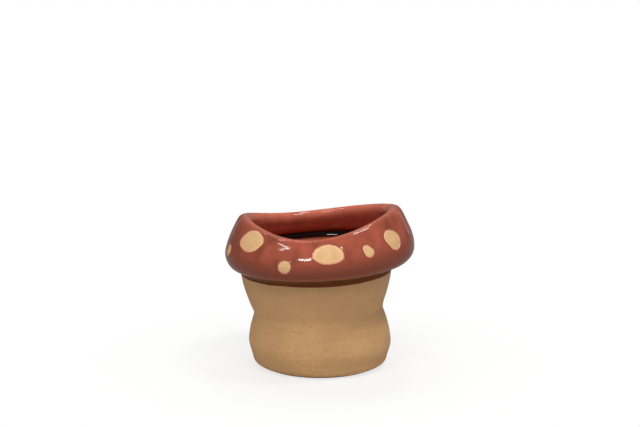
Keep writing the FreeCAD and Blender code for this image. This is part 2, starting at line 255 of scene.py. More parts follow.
@dataclass
class CapForm:
    """Shape of the cap in millimetres, in the tilted frame of the neck of the stalk that carries it."""

    stalk: StalkForm
    overhang: float = 14.25
    rise: float = 13.77
    shift: float = 3.5
    wall: float = 5.0
    curl_radius: float = 11.63
    curl_degrees: float = 81.0
    curl_shares: tuple[float, ...] = (1.0, 0.66, 0.33, 0.0)
    lip_inset: float = 14.68
    lip_swell: float = 2.2
    lip_ends: float = 1.5
    lip_climb: float = 24.84
    lip_shift: float = 1.25
    lip_saddle: float = 5.59
    lip_cant: float = 1.56
    lip_cant_degrees: float = -28.7
    lip_ripple: float = 1.34
    lip_ripple_degrees: float = -44.2
    lip_degrees: tuple[float, ...] = (25.0, 58.0, 90.0)
    lower_handle: float = 0.276
    upper_handle: Span = (0.413, 0.722)
    flank_shares: tuple[float, ...] = (0.25, 0.5, 0.75)
    flank_swells: tuple[float, ...] = (0.5, 1.2, 1.5)
    glaze: float = 0.7
    window_margin: float = 0.35
    dents: tuple[Waviness, ...] = (Waviness(0.3, 1 / 31), Waviness(0.009, 1 / 13))
    dent_rise: Span = (0.02, 0.16)
    bearings: int = 420

    def __post_init__(self) -> None:
        """Sets the frame of the neck and threads a section at every bearing."""
        height, self.neck_radius, offset, tilt = self.stalk.rings[-1]
        turn = Matrix.Rotation(-math.radians(tilt), 4, "Y")
        self.frame = Matrix.Translation((offset, 0, height)) @ turn
        self.radius = self.neck_radius + self.overhang
        angles = [FULL_TURN * index / self.bearings for index in range(self.bearings)]
        self.sections = {side: [Section(self.rows(angle, side)) for angle in angles] for side in Side}

    def lip_round(self, angle: float) -> float:
        """Radius of the lip's round section at a bearing: the lip is thicker at its left and right ends."""
        return (self.wall + self.lip_swell) / 2 + self.lip_ends * math.cos(angle) ** 2

    def lip_centre(self, angle: float) -> Span:
        """Middle of the lip's round section.

        Args:
            angle: Bearing round the cap.

        Returns:
            Radius and height.
        """
        cant = self.lip_cant * math.cos(angle - math.radians(self.lip_cant_degrees))
        ripple = self.lip_ripple * math.cos(3 * (angle - math.radians(self.lip_ripple_degrees)))
        saddle = self.lip_saddle * math.cos(2 * angle)
        height = self.rise + self.lip_climb + saddle + cant + ripple
        return self.radius - self.lip_inset, height - self.lip_round(angle)

    def flank(self, angle: float, share: float, depth: float) -> Triple:
        """Row of the flank at a share of the way up.

        Args:
            angle: Bearing round the cap.
            share: Share of the way from the widest ring to the lip.
            depth: Millimetres under the outside of the clay.

        Returns:
            Radius, height and offset.
        """
        centre, turn = self.lip_centre(angle), math.radians(self.lip_degrees[0])
        rounded = self.lip_round(angle)
        end = Vector((centre[0] + rounded * math.cos(turn), centre[1] + rounded * math.sin(turn)))
        climb = end.y - self.rise
        inward, upward = self.upper_handle
        points = (
            Vector((self.radius, self.rise)),
            Vector((self.radius, self.rise + climb * self.lower_handle)),
            Vector((end.x + (self.radius - end.x) * inward, self.rise + climb * upward)),
            end,
        )
        rest = 1 - share
        weights = (rest ** 3, 3 * rest * rest * share, 3 * rest * share * share, share ** 3)
        slopes = (rest * rest, 2 * rest * share, share * share)
        spot = sum((weight * point for weight, point in zip(weights, points)), Vector((0, 0)))
        run = sum((s * (b - a) for s, a, b in zip(slopes, points, points[1:])), Vector((0, 0)))
        run.normalize()
        offset = self.shift + self.lip_shift * (spot.y - self.rise) / climb
        return spot.x - depth * run.y, spot.y + depth * run.x, offset

    def rows(self, angle: float, side: Side) -> list[Triple]:
        """Rows of one skin of the clay at a bearing, from the neck to the crest of the lip.

        Args:
            angle: Bearing round the cap.
            side: Skin that is meant.

        Returns:
            Radius, height and offset of each row.
        """
        outside = side is Side.OUTSIDE
        depth, swell = (0.0, 0.0) if outside else (self.wall, self.lip_swell)
        rows = [(self.neck_radius if outside else self.neck_radius - self.stalk.wall, 0.0, 0.0)]
        curl = []
        for share in self.curl_shares:
            turn = -math.radians(self.curl_degrees * share)
            reach = self.curl_radius - depth
            curl.append((self.radius - self.curl_radius + reach * math.cos(turn),
                         self.rise + reach * math.sin(turn), self.shift))
        rows.append(tuple((low + high) / 2 for low, high in zip(rows[0], curl[0])))
        rows += curl
        rounded = self.lip_round(angle)
        extra = 0.0 if outside else 2 * rounded - self.wall - swell
        rows += [self.flank(angle, share, depth + swell * part + extra * share)
                 for share, part in zip(self.flank_shares, self.flank_swells)]
        radius, height = self.lip_centre(angle)
        for degrees in self.lip_degrees:
            turn = math.radians(degrees if outside else 180 - degrees)
            rows.append((radius + rounded * math.cos(turn), height + rounded * math.sin(turn),
                         self.shift + self.lip_shift))
        return rows

    def to_pot(self, radius: float, height: float, offset: float, angle: float) -> Vector:
        """Point of the neck's frame, in metres in the pot's frame."""
        local = Vector((offset + radius * math.cos(angle), radius * math.sin(angle), height))
        return MM * (self.frame @ local)

    def point(self, angle: float, place: float, side: Side = Side.OUTSIDE) -> Vector:
        """Point on a skin of the clay, with the dents of hand work.

        Args:
            angle: Bearing round the cap.
            place: Share of the way from the neck to the crest.
            side: Skin that is meant.

        Returns:
            The point in metres.
        """
        spread = (angle % FULL_TURN) / FULL_TURN * self.bearings
        index = int(spread)
        sections = self.sections[side]
        near, far = (sections[i % self.bearings].at(place) for i in (index, index + 1))
        radius, height, offset = (a + (b - a) * (spread - index) for a, b in zip(near, far))
        around = on_ring(radius, angle, height)
        radius += sum(dent.at(around) for dent in self.dents) * smooth_step(*self.dent_rise, place)
        return self.to_pot(radius, height, offset, angle)


@dataclass(frozen=True)
class Spot:
    """One pale patch: where it sits on the cap and how its outline swells, in millimetres and degrees."""

    name: str
    bearing: float
    share: float
    half_width: float
    half_height: float
    turn: float
    two_lobes: float
    three_lobes: float
    lobe_bearing: float
    edges: tuple[Waviness, ...] = (Waviness(0.05, 1.6), Waviness(0.05, 4.1))
    edge_degrees: float = 7.0

    def reach(self, turn: float, margin: float) -> Span:
        """Half width and half height that hold at a turn round the outline.

        Args:
            turn: Turn round the spot's middle.
            margin: Millimetres outside the outline.

        Returns:
            Half width and half height.
        """
        lobe = turn - math.radians(self.lobe_bearing)
        swell = 1 + self.two_lobes * math.cos(2 * lobe) + self.three_lobes * math.cos(3 * lobe)
        around = on_ring(1.0, turn, self.bearing / self.edge_degrees)
        swell += sum(edge.at(around) for edge in self.edges)
        return self.half_width * swell + margin, self.half_height * swell + margin


class SpotSeat:
    """Tangent plane of a spot on the cap, and the way between it and the cap's surface.

    Steps are radians of bearing, and shares of the flank or of the section.
    """

    AXIS_STEP = 0.01
    SEARCH_STEPS = 200
    SLOPE_STEP = 0.002
    ROUNDS = 4
    PLACES: Span = (0.1, 0.99)

    def __init__(self, spot: Spot, form: CapForm) -> None:
        """Finds the spot's middle and axes.

        Args:
            spot: Spot to seat.
            form: Cap that carries it.
        """
        self.spot, self.form = spot, form
        bearing, step = math.radians(spot.bearing), self.AXIS_STEP
        self.centre = self._on_flank(bearing, spot.share)
        along = self._on_flank(bearing + step, spot.share) - self._on_flank(bearing - step, spot.share)
        up = self._on_flank(bearing, spot.share + step) - self._on_flank(bearing, spot.share - step)
        self.out = along.cross(up).normalized()
        turned = Matrix.Rotation(math.radians(spot.turn), 3, self.out)
        self.along = turned @ along.normalized()
        self.up = self.out.cross(self.along)
        places = [index / self.SEARCH_STEPS for index in range(self.SEARCH_STEPS + 1)]
        self.start = (bearing, min(places, key=lambda p: (form.point(bearing, p) - self.centre).length))

    def _on_flank(self, angle: float, share: float) -> Vector:
        """Point of the smooth flank at a bearing and share."""
        return self.form.to_pot(*self.form.flank(angle, share, 0.0), angle)

    def local(self, point: Vector) -> Span:
        """Millimetres along and up the spot's plane of a point in metres."""
        away = point - self.centre
        return away.dot(self.along) / MM, away.dot(self.up) / MM

    def ratio(self, x: float, y: float, margin: float) -> float:
        """How far out a local point lies.

        Args:
            x: Millimetres along.
            y: Millimetres up.
            margin: Millimetres outside the outline.

        Returns:
            Share of the way out to the widened outline: 1 is on it.
        """
        spot = self.spot
        turn = math.atan2(y / (spot.half_height + margin), x / (spot.half_width + margin))
        width, height = spot.reach(turn, margin)
        return math.hypot(x / width, y / height)

    def solve(self, x: float, y: float, start: Span) -> Span:
        """Bearing and place on the cap under a local point.

        Args:
            x: Millimetres along.
            y: Millimetres up.
            start: Bearing and place to start from.

        Returns:
            Bearing and place on the cap's outside.
        """
        angle, place = start
        step = self.SLOPE_STEP
        lowest, highest = self.PLACES
        for _ in range(self.ROUNDS):
            here = self.local(self.form.point(angle, place))
            aside = self.local(self.form.point(angle + step, place))
            below = self.local(self.form.point(angle, place - step))
            ax, ay = (aside[0] - here[0]) / step, (aside[1] - here[1]) / step
            px, py = (here[0] - below[0]) / step, (here[1] - below[1]) / step
            dx, dy, area = x - here[0], y - here[1], ax * py - px * ay
            angle += (dx * py - px * dy) / area
            place = min(max(place + (ax * dy - dx * ay) / area, lowest), highest)
        return angle, place


@dataclass(frozen=True)
class Cloud:
    """Noise of a finish: waves per metre, octaves, and the weight of the finer octaves."""

    scale: float
    detail: float
    rough: float


@dataclass(frozen=True)
class Mask:
    """How a noise shows in a colour: where it starts and stops rising, and how much of it covers."""

    low: float
    high: float
    share: float


@dataclass(frozen=True)
class Specks:
    """Scattered round dots of a finish: cells per metre, radius in a cell, and share of cells with a dot."""

    scale: float
    size: float
    share: float
    smallest: float = 0.4
    edge: float = 1 / 6
    choice_edge: float = 0.02


class Value:
    """A number in a material, so that sums and products of numbers read as such."""

    def __init__(self, graph: "Graph", socket: Socket) -> None:
        """Wraps an output socket of a graph."""
        self.graph, self.socket = graph, socket

    def _join(self, operation: str, first: object, second: object) -> "Value":
        """Adds a Math node of two values and wraps its result."""
        node = self.graph.node("ShaderNodeMath", {"operation": operation}, {0: first, 1: second})
        return Value(self.graph, node.outputs[0])

    def __add__(self, other: object) -> "Value":
        """Sum."""
        return self._join("ADD", self, other)

    def __radd__(self, other: object) -> "Value":
        """Sum, from the right."""
        return self._join("ADD", other, self)

    def __sub__(self, other: object) -> "Value":
        """Difference."""
        return self._join("SUBTRACT", self, other)

    def __rsub__(self, other: object) -> "Value":
        """Difference, from the right."""
        return self._join("SUBTRACT", other, self)

    def __mul__(self, other: object) -> "Value":
        """Product."""
        return self._join("MULTIPLY", self, other)

    def __rmul__(self, other: object) -> "Value":
        """Product, from the right."""
        return self._join("MULTIPLY", other, self)

    def most(self, other: object) -> "Value":
        """Larger of two values."""
        return self._join("MAXIMUM", self, other)

    def span(self, low: float, high: float) -> "Value":
        """Smooth rise from 0 at low to 1 at high.

        Args:
            low: Value that becomes 0.
            high: Value that becomes 1.

        Returns:
            The value after the rise.
        """
        node = self.graph.node(
            "ShaderNodeMapRange", {"interpolation_type": "SMOOTHSTEP"},
            {"Value": self, "From Min": low, "From Max": high},
        )
        return Value(self.graph, node.outputs["Result"])

    def through(self, mask: Mask) -> "Value":
        """Share of a colour that a noise lays on."""
        return self.span(mask.low, mask.high) * mask.share


class Graph:
    """Node tree of a material or of the world."""

    def __init__(self, tree: bpy.types.NodeTree) -> None:
        """Empties a tree to build on."""
        self.tree = tree
        tree.nodes.clear()

    def node(self, kind: str, settings: dict[str, object], sockets: dict[object, object]) -> bpy.types.Node:
        """Adds a node.

        Args:
            kind: Type of the node.
            settings: Properties, set first.
            sockets: Values or links of its inputs, by name or number.

        Returns:
            The node.
        """
        node = self.tree.nodes.new(kind)
        for name, setting in settings.items():
            setattr(node, name, setting)
        for key, value in sockets.items():
            link = value.socket if isinstance(value, Value) else value
            if isinstance(link, Socket):
                self.tree.links.new(link, node.inputs[key])
            else:
                node.inputs[key].default_value = link
        return node

    def attribute(self, name: str) -> Value:
        """Number that a piece's mesh carries, 0 where it has none."""
        node = self.node("ShaderNodeAttribute", {"attribute_name": name}, {})
        return Value(self, node.outputs["Fac"])

    def coordinates(self, scale: Triple = (1.0, 1.0, 1.0)) -> Socket:
        """Object coordinates.

        Args:
            scale: How many times a pattern on them repeats along each axis.

        Returns:
            The link of the coordinates.
        """
        place = self.node("ShaderNodeTexCoord", {}, {})
        mapped = self.node("ShaderNodeMapping", {}, {"Vector": place.outputs["Object"], "Scale": scale})
        return mapped.outputs["Vector"]

    def cloud(self, vector: Socket, cloud: Cloud) -> Value:
        """Noise over coordinates, about 0.5 on average."""
        node = self.node(
            "ShaderNodeTexNoise", {},
            {"Vector": vector, "Scale": cloud.scale, "Detail": cloud.detail, "Roughness": cloud.rough},
        )
        return Value(self, node.outputs["Fac"])

    def specks(self, vector: Socket, dots: Specks) -> Value:
        """Mask of scattered dots.

        Args:
            vector: Coordinates to read.
            dots: How large and how many they are.

        Returns:
            1 inside a dot, 0 outside.
        """
        cells = self.node(
            "ShaderNodeTexVoronoi", {"feature": "F1"},
            {"Vector": vector, "Scale": dots.scale, "Randomness": 1.0},
        )
        split = self.node("ShaderNodeSeparateColor", {}, {"Color": cells.outputs["Color"]})
        chosen = Value(self, split.outputs["Red"]).span(1 - dots.share, 1 - dots.share + dots.choice_edge)
        least = dots.size * dots.smallest
        radius = Value(self, split.outputs["Green"]) * (dots.size - least) + least
        near = (radius - Value(self, cells.outputs["Distance"])) * (1 / (dots.edge * dots.size))
        return near.span(0.0, 1.0) * chosen

    def paint(self, colour: object, *layers: tuple[object, object]) -> Socket:
        """Colour under layers of other colours.

        Args:
            colour: Colour or link of the ground.
            layers: Share and colour of each layer, in the order that they are laid on.

        Returns:
            The mixed colour.
        """
        for share, layer in layers:
            # Inputs 0, 6 and 7 of a colour mix are the share, the colour under and the colour over.
            node = self.node("ShaderNodeMix", {"data_type": "RGBA"}, {0: share, 6: colour, 7: layer})
            colour = node.outputs[2]
        return colour

    def bump(self, height: Value, distance: float, strength: float) -> Socket:
        """Normal that is bent by a height, in metres at full height."""
        node = self.node(
            "ShaderNodeBump", {}, {"Height": height, "Distance": distance, "Strength": strength}
        )
        return node.outputs["Normal"]

    def surface(self, sockets: dict[object, object]) -> None:
        """Ends the graph in a surface of the given base colour, roughness, normal and constants."""
        shader = self.node("ShaderNodeBsdfPrincipled", {}, sockets)
        self.node("ShaderNodeOutputMaterial", {}, {"Surface": shader.outputs[0]})


def new_material(name: str) -> tuple[Material, Graph]:
    """Adds a material.

    Args:
        name: Name of the material.

    Returns:
        The material and its empty graph.
    """
    material = bpy.data.materials.new(name)
    material.use_nodes = True
    return material, Graph(material.node_tree)


@dataclass(frozen=True)
class GlazeFinish:
    """Glossy glaze, red breaking to brown, pink where thin, with painted shade where marked low or under.

    A span is where a noise starts and stops rising, a share is how much of it shows, and relief is the
    distance in metres and the strength of the bump.
    """

    name: str
    body: Colour
    dark: Colour
    thin: Colour
    roughness: float = 0.05
    mottle: float = 0.6
    # Share of dark laid where a piece marks low: painted shade, on the cap partly a browner break of the
    # glaze too.
    low_shade: float = 0.8
    ior: float = 1.42
    streaks: Cloud = Cloud(66, 2, 0.5)
    streak_stretch: Triple = (1.0, 1.0, 0.3)
    streak_span: Span = (0.36, 0.74)
    blotches: Cloud = Cloud(25, 2, 0.5)
    blotch_span: Span = (0.4, 0.7)
    blotch_share: float = 0.7
    window_share: float = 0.55
    # Dark brown laid where the cap marks under: partly the glaze breaking brown, partly painted shade below
    # the cap.
    under: Colour = (0.11, 0.038, 0.009, 1.0)
    under_roughness: float = 0.4
    pins: Specks = Specks(260, 0.16, 0.12)
    pin_share: float = 0.5
    pin_depth: float = 0.1
    swells: Cloud = Cloud(95, 2, 0.45)
    ripples: Cloud = Cloud(420, 2, 0.5)
    ripple_share: float = 0.12
    haze: Cloud = Cloud(140, 3, 0.6)
    haze_share: float = 0.05
    relief: Span = (0.0004, 0.04)

    def material(self) -> Material:
        """Builds the finish.

        Returns:
            The glaze's material.
        """
        material, graph = new_material(self.name)
        plain, tall = graph.coordinates(), graph.coordinates(self.streak_stretch)
        streaks = graph.cloud(tall, self.streaks).span(*self.streak_span)
        blotches = graph.cloud(plain, self.blotches).span(*self.blotch_span)
        brown = (streaks * self.mottle).most(blotches * (self.mottle * self.blotch_share))
        brown = brown.most(graph.attribute("window") * self.window_share)
        # Painted shade: darker where the piece marks low, in the lining's pocket and on the lower cap.
        brown = brown.most(graph.attribute("low") * self.low_shade)
        # Painted shade in part: the cap's underside is laid dark brown.
        under = graph.attribute("under")
        pins = graph.specks(plain, self.pins)
        colour = graph.paint(
            self.body, (brown, self.dark), (graph.attribute("edge"), self.thin), (under, self.under),
            (pins * self.pin_share, self.dark),
        )
        skin = graph.cloud(plain, self.swells) + graph.cloud(plain, self.ripples) * self.ripple_share
        rough = self.roughness + graph.cloud(plain, self.haze) * self.haze_share
        graph.surface({
            "Base Color": colour, "Roughness": rough + under * self.under_roughness, "IOR": self.ior,
            "Normal": graph.bump(skin - pins * self.pin_depth, *self.relief),
        })
        return material


@dataclass(frozen=True)
class ClayFinish:
    """Bare stoneware: dull, finely grained, with painted shade above its waist, iron specks and small pits.

    Spans, shares and relief are as in the glaze. The painted shade's mask is in metres of height.
    """

    name: str
    body: Colour
    dark: Colour
    pale: Colour
    roughness: float = 0.86
    ior: float = 1.45
    iron: Colour = (0.07, 0.035, 0.015, 1.0)
    broad: Cloud = Cloud(22, 4, 0.55)
    broad_mask: Mask = Mask(0.35, 0.72, 0.55)
    lines: Cloud = Cloud(36, 4, 0.6)
    line_stretch: Triple = (1.0, 1.0, 9.0)
    pale_line_mask: Mask = Mask(0.5, 0.72, 0.2)
    dark_line_span: Span = (0.32, 0.5)
    dark_line_share: float = 0.22
    # Painted shade under the cap: the clay darkens from the waist upwards.
    cap_shade_mask: Mask = Mask(0.034, 0.058, 0.55)
    sand: Cloud = Cloud(420, 3, 0.6)
    sand_mask: Mask = Mask(0.48, 0.7, 0.5)
    grain: Cloud = Cloud(1300, 3, 0.7)
    grain_mask: Mask = Mask(0.5, 0.7, 0.4)
    specks: Specks = Specks(480, 0.17, 0.3)
    speck_share: float = 0.6
    pits: Specks = Specks(105, 0.065, 0.16)
    pit_share: float = 0.95
    relief_shares: tuple[float, ...] = (0.35, 0.4, 0.25, 0.9)
    relief: Span = (0.0006, 0.5)

    def material(self) -> Material:
        """Builds the finish.

        Returns:
            The clay's material.
        """
        material, graph = new_material(self.name)
        plain, level = graph.coordinates(), graph.coordinates(self.line_stretch)
        broad, lines = graph.cloud(plain, self.broad), graph.cloud(level, self.lines)
        grain, sand = graph.cloud(plain, self.grain), graph.cloud(plain, self.sand)
        specks, pits = graph.specks(plain, self.specks), graph.specks(plain, self.pits)
        axes = graph.node("ShaderNodeSeparateXYZ", {}, {"Vector": plain})
        colour = graph.paint(
            self.body,
            (broad.through(self.broad_mask), self.dark),
            (lines.through(self.pale_line_mask), self.pale),
            ((1 - lines.span(*self.dark_line_span)) * self.dark_line_share, self.dark),
            # Painted shade: darker towards the top, under the cap's overhang.
            (Value(graph, axes.outputs["Z"]).through(self.cap_shade_mask), self.dark),
            (sand.through(self.sand_mask), self.dark),
            (grain.through(self.grain_mask), self.pale),
            ((specks * self.speck_share).most(pits * self.pit_share), self.iron),
        )
        of_grain, of_sand, of_lines, of_pits = self.relief_shares
        height = grain * of_grain + sand * of_sand + lines * of_lines - pits * of_pits
        graph.surface({
            "Base Color": colour, "Roughness": self.roughness, "IOR": self.ior,
            "Normal": graph.bump(height, *self.relief),
        })
        return material


@dataclass(frozen=True)
class SlipFinish:
    """Pale slip: dull and pitted, warmer at its edge. Spans, shares and relief are as in the glaze."""

    name: str
    body: Colour
    warm: Colour
    ring: Colour
    roughness: float = 0.6
    ior: float = 1.45
    pit_colour: Colour = (0.22, 0.1, 0.05, 1.0)
    patches: Cloud = Cloud(130, 4, 0.6)
    patch_span: Span = (0.4, 0.7)
    patch_share: float = 0.6
    grain: Cloud = Cloud(900, 3, 0.65)
    grain_mask: Mask = Mask(0.5, 0.7, 0.4)
    pits: Specks = Specks(360, 0.12, 0.12)
    pit_share: float = 0.6
    relief_shares: Span = (0.35, 0.4)
    relief: Span = (0.0004, 0.5)

    def material(self) -> Material:
        """Builds the finish.

        Returns:
            The slip's material.
        """
        material, graph = new_material(self.name)
        plain = graph.coordinates()
        patches = graph.cloud(plain, self.patches).span(*self.patch_span)
        grain = graph.cloud(plain, self.grain)
        pits = graph.specks(plain, self.pits)
        colour = graph.paint(
            self.body,
            (patches * self.patch_share + grain.through(self.grain_mask), self.warm),
            (graph.attribute("edge"), self.ring),
            (pits * self.pit_share, self.pit_colour),
        )
        of_grain, of_patches = self.relief_shares
        height = grain * of_grain + patches * of_patches - pits
        graph.surface({
            "Base Color": colour, "Roughness": self.roughness, "IOR": self.ior,
            "Normal": graph.bump(height, *self.relief),
        })
        return material


class Shapes:
    """Meshes in parameters, which the pot's forms then place."""

    RING_RADIUS = 2.0

    @staticmethod
    def spin(bm: Mesh, steps: int) -> None:
        """Spins all of a mesh once round the upright axis."""
        bmesh.ops.spin(
            bm, geom=bm.verts[:] + bm.edges[:], axis=(0, 0, 1), cent=(0, 0, 0),
            angle=FULL_TURN, steps=steps, use_merge=True,
        )

    @classmethod
    def tube(cls, cuts: int, steps: int) -> Mesh:
        """Open tube of radius 1 and height 1.

        Args:
            cuts: Cuts along its height.
            steps: Faces round it.

        Returns:
            The mesh.
        """
        bm = bmesh.new()
        ends = [bm.verts.new((1, 0, height)) for height in (0, 1)]
        bmesh.ops.subdivide_edges(bm, edges=[bm.edges.new(ends)], cuts=cuts)
        cls.spin(bm, steps)
        bmesh.ops.recalc_face_normals(bm, faces=bm.faces)
        return bm

    @classmethod
    def ring(cls, points: int, steps: int) -> Mesh:
        """Round ring whose section is walked once round its small circle.

        Args:
            points: Points of the section.
            steps: Faces round the ring.

        Returns:
            The mesh.
        """
        bm = bmesh.new()
        upright = Matrix.Translation((cls.RING_RADIUS, 0, 0)) @ Matrix.Rotation(math.pi / 2, 4, "X")
        bmesh.ops.create_circle(bm, segments=points, radius=1, matrix=upright)
        cls.spin(bm, steps)
        return bm

    @classmethod
    def walk(cls, co: Vector, points: int) -> Span:
        """Bearing, and share of the way round the section, of a point of a ring."""
        turn = math.atan2(co.z, math.hypot(co.x, co.y) - cls.RING_RADIUS) % FULL_TURN
        return math.atan2(co.y, co.x), round(turn / FULL_TURN * points) % points / points

    @staticmethod
    def disc(segments: int, insets: tuple[float, ...]) -> Mesh:
        """Flat disc of radius 1 in rings, with a skirt round it.

        Args:
            segments: Points of its outline.
            insets: Width of each ring, from the outline inwards.

        Returns:
            The mesh, with the skirt's foot at height -1.
        """
        bm = bmesh.new()
        bmesh.ops.create_circle(bm, cap_ends=True, segments=segments, radius=1)
        middle = bm.faces[:][0]
        for width in insets:
            bmesh.ops.inset_region(
                bm, faces=[middle], thickness=width, use_even_offset=True, use_boundary=True
            )
        bmesh.ops.poke(bm, faces=[middle])
        rim = [edge for edge in bm.edges if edge.is_boundary]
        skirt = bmesh.ops.extrude_edge_only(bm, edges=rim)
        foot = [item for item in skirt["geom"] if isinstance(item, bmesh.types.BMVert)]
        bmesh.ops.translate(bm, verts=foot, vec=(0, 0, -1))
        bmesh.ops.edgeloop_fill(bm, edges=[edge for edge in bm.edges if edge.is_boundary])
        return bm


def number_layers(bm: Mesh, *names: str) -> list[Layer]:
    """Layers of one number per vertex, made where the mesh has none of that name."""
    layers = bm.verts.layers.float
    return [layers[name] if name in layers.keys() else layers.new(name) for name in names]


def add_object(name: str, data: bpy.types.ID) -> bpy.types.Object:
    """Adds an object to the scene.

    Args:
        name: Name of the object.
        data: Mesh, lamp or camera that it shows.

    Returns:
        The object.
    """
    item = bpy.data.objects.new(name, data)
    bpy.context.scene.collection.objects.link(item)
    return item


def add_mesh(name: str, bm: Mesh, material: Material) -> bpy.types.Object:
    """Adds a mesh of one material to the scene.

    Args:
        name: Name of the object.
        bm: Mesh in metres, freed here.
        material: Material of the mesh.

    Returns:
        The object.
    """
    mesh = bpy.data.meshes.new(name)
    bm.to_mesh(mesh)
    bm.free()
    mesh.materials.append(material)
    return add_object(name, mesh)


def add_piece(node: str, bm: Mesh, material: Material) -> None:
    """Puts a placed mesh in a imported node's stead: doubles merged, normals out, sharp only at hard corners.

    Args:
        node: Node that the piece replaces.
        bm: Mesh in metres, freed here.
        material: Material of the piece.
    """
    merge, collapse, sharp = 1e-7, 1e-8, math.radians(50)
    bmesh.ops.remove_doubles(bm, verts=bm.verts, dist=merge)
    bmesh.ops.dissolve_degenerate(bm, edges=bm.edges, dist=collapse)
    bmesh.ops.delete(bm, geom=[edge for edge in bm.edges if edge.is_wire], context="EDGES")
    bmesh.ops.recalc_face_normals(bm, faces=bm.faces)
    for face in bm.faces:
        face.smooth = True
    for edge in bm.edges:
        edge.smooth = not edge.is_manifold or edge.calc_face_angle(0.0) < sharp
    piece = add_mesh(f"{node}_piece", bm, material)
    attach(piece, "root")
    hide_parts(node)
    LOG.info("%s: %d faces", piece.name, len(piece.data.polygons))


def dress_node(name: str, material: Material) -> None:
    """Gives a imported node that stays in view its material.

    Args:
        name: Name of the node.
        material: Material to give it.
    """
    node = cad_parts[name]
    node.data.materials.clear()
    node.data.materials.append(material)
    LOG.info("%s: packed node, dressed", name)


@dataclass
class Stalk:
    """Bare stalk with its foot ring, its floor and the brown band round its neck.

    The ends of the outside and the inside are shares of the way round the wall's section.
    """

    form: StalkForm
    clay: Material
    band_glaze: Material
    points: int = 192
    steps: int = 288
    outside_end: float = 0.64
    inside_end: float = 0.9
    crowding: float = 1.25
    foot_slope: float = 2.2
    band_points: int = 40
    band_drop: float = 3.7
    band_tilt_degrees: float = 1.5
    band_thickness: float = 0.5
    band_sink: float = 0.15
    band_round: int = 6
    band_edge: Waviness = Waviness(0.45, 3.1, (0.0, 0.0, 0.6))

    def build(self) -> None:
        """Builds the wall and the band, and dresses the floor and the joins."""
        add_piece("stalk_wall", self.wall_mesh(), self.clay)
        add_piece("neck_glaze", self.band_mesh(), self.band_glaze)
        for name in ("floor_slab", "floor_slip", "floor_coil", "neck_slip"):
            dress_node(name, self.clay)

    def wall_mesh(self) -> Mesh:
        """Closed wall: up the outside, over the neck, down the inside, round the foot ring.

        Returns:
            The mesh in metres.
        """
        form = self.form
        top = form.rings[-1][0] - form.slip
        bore, heel = form.hollow_radius - form.ledge, form.rings[0][1]
        inner = form.inside_line()
        last = round((1 - self.inside_end) * self.points)
        bm = Shapes.ring(self.points, self.steps)
        for vert in bm.verts:
            angle, share = Shapes.walk(vert.co, self.points)
            if share < self.outside_end:
                height = top * (share / self.outside_end) ** self.crowding
                vert.co = form.place(angle, height, form.unevenness(angle, height))
            elif share < self.inside_end:
                down = (share - self.outside_end) / (self.inside_end - self.outside_end)
                radius, height, _ = inner.at(down)
                height = min(height, top)
                vert.co = form.place(angle, height, radius - form.radius.at(height))
            else:
                along = round((share - self.inside_end) * self.points) / last
                radius = bore + (heel - bore) * max(2 * along - 1, 0)
                vert.co = MM * on_ring(radius, angle, form.recess * max(1 - self.foot_slope * along, 0))
        return bm

    def band_mesh(self) -> Mesh:
        """Closed band of glaze with a rounded, slightly wavy lower edge.

        Returns:
            The mesh in metres.
        """
        form = self.form
        neck, radius, _, tilt = form.rings[-1]
        fall = radius * math.sin(math.radians(tilt - self.band_tilt_degrees))
        bm = Shapes.ring(self.band_points, self.steps)
        for vert in bm.verts:
            angle, share = Shapes.walk(vert.co, self.band_points)
            drop = self.band_drop + fall * math.cos(angle) + self.band_edge.at(on_ring(1.0, angle, 0.0))
            down = 1 - abs(2 * share - 1)
            rounding = math.sqrt(max(1 - down ** self.band_round, 0))
            lift = self.band_thickness * rounding if share <= 0.5 else -self.band_sink
            height = neck - drop * down
            vert.co = form.place(angle, height, lift + form.unevenness(angle, height))
        return bm


@dataclass
class CapShell:
    """Clay bowl of the cap."""

    form: CapForm
    clay: Material
    points: int = 128
    steps: int = 210

    def build(self) -> None:
        """Builds the bowl."""
        add_piece("cap_shell", self.mesh(), self.clay)

    def mesh(self) -> Mesh:
        """Closed bowl: up the outside from the neck, over the lip and down the inside.

        Returns:
            The mesh in metres.
        """
        bm = Shapes.ring(self.points, self.steps)
        for vert in bm.verts:
            angle, share = Shapes.walk(vert.co, self.points)
            side = Side.OUTSIDE if share <= 0.5 else Side.INSIDE
            vert.co = self.form.point(angle, 1 - abs(1 - 2 * share), side)
        return bm


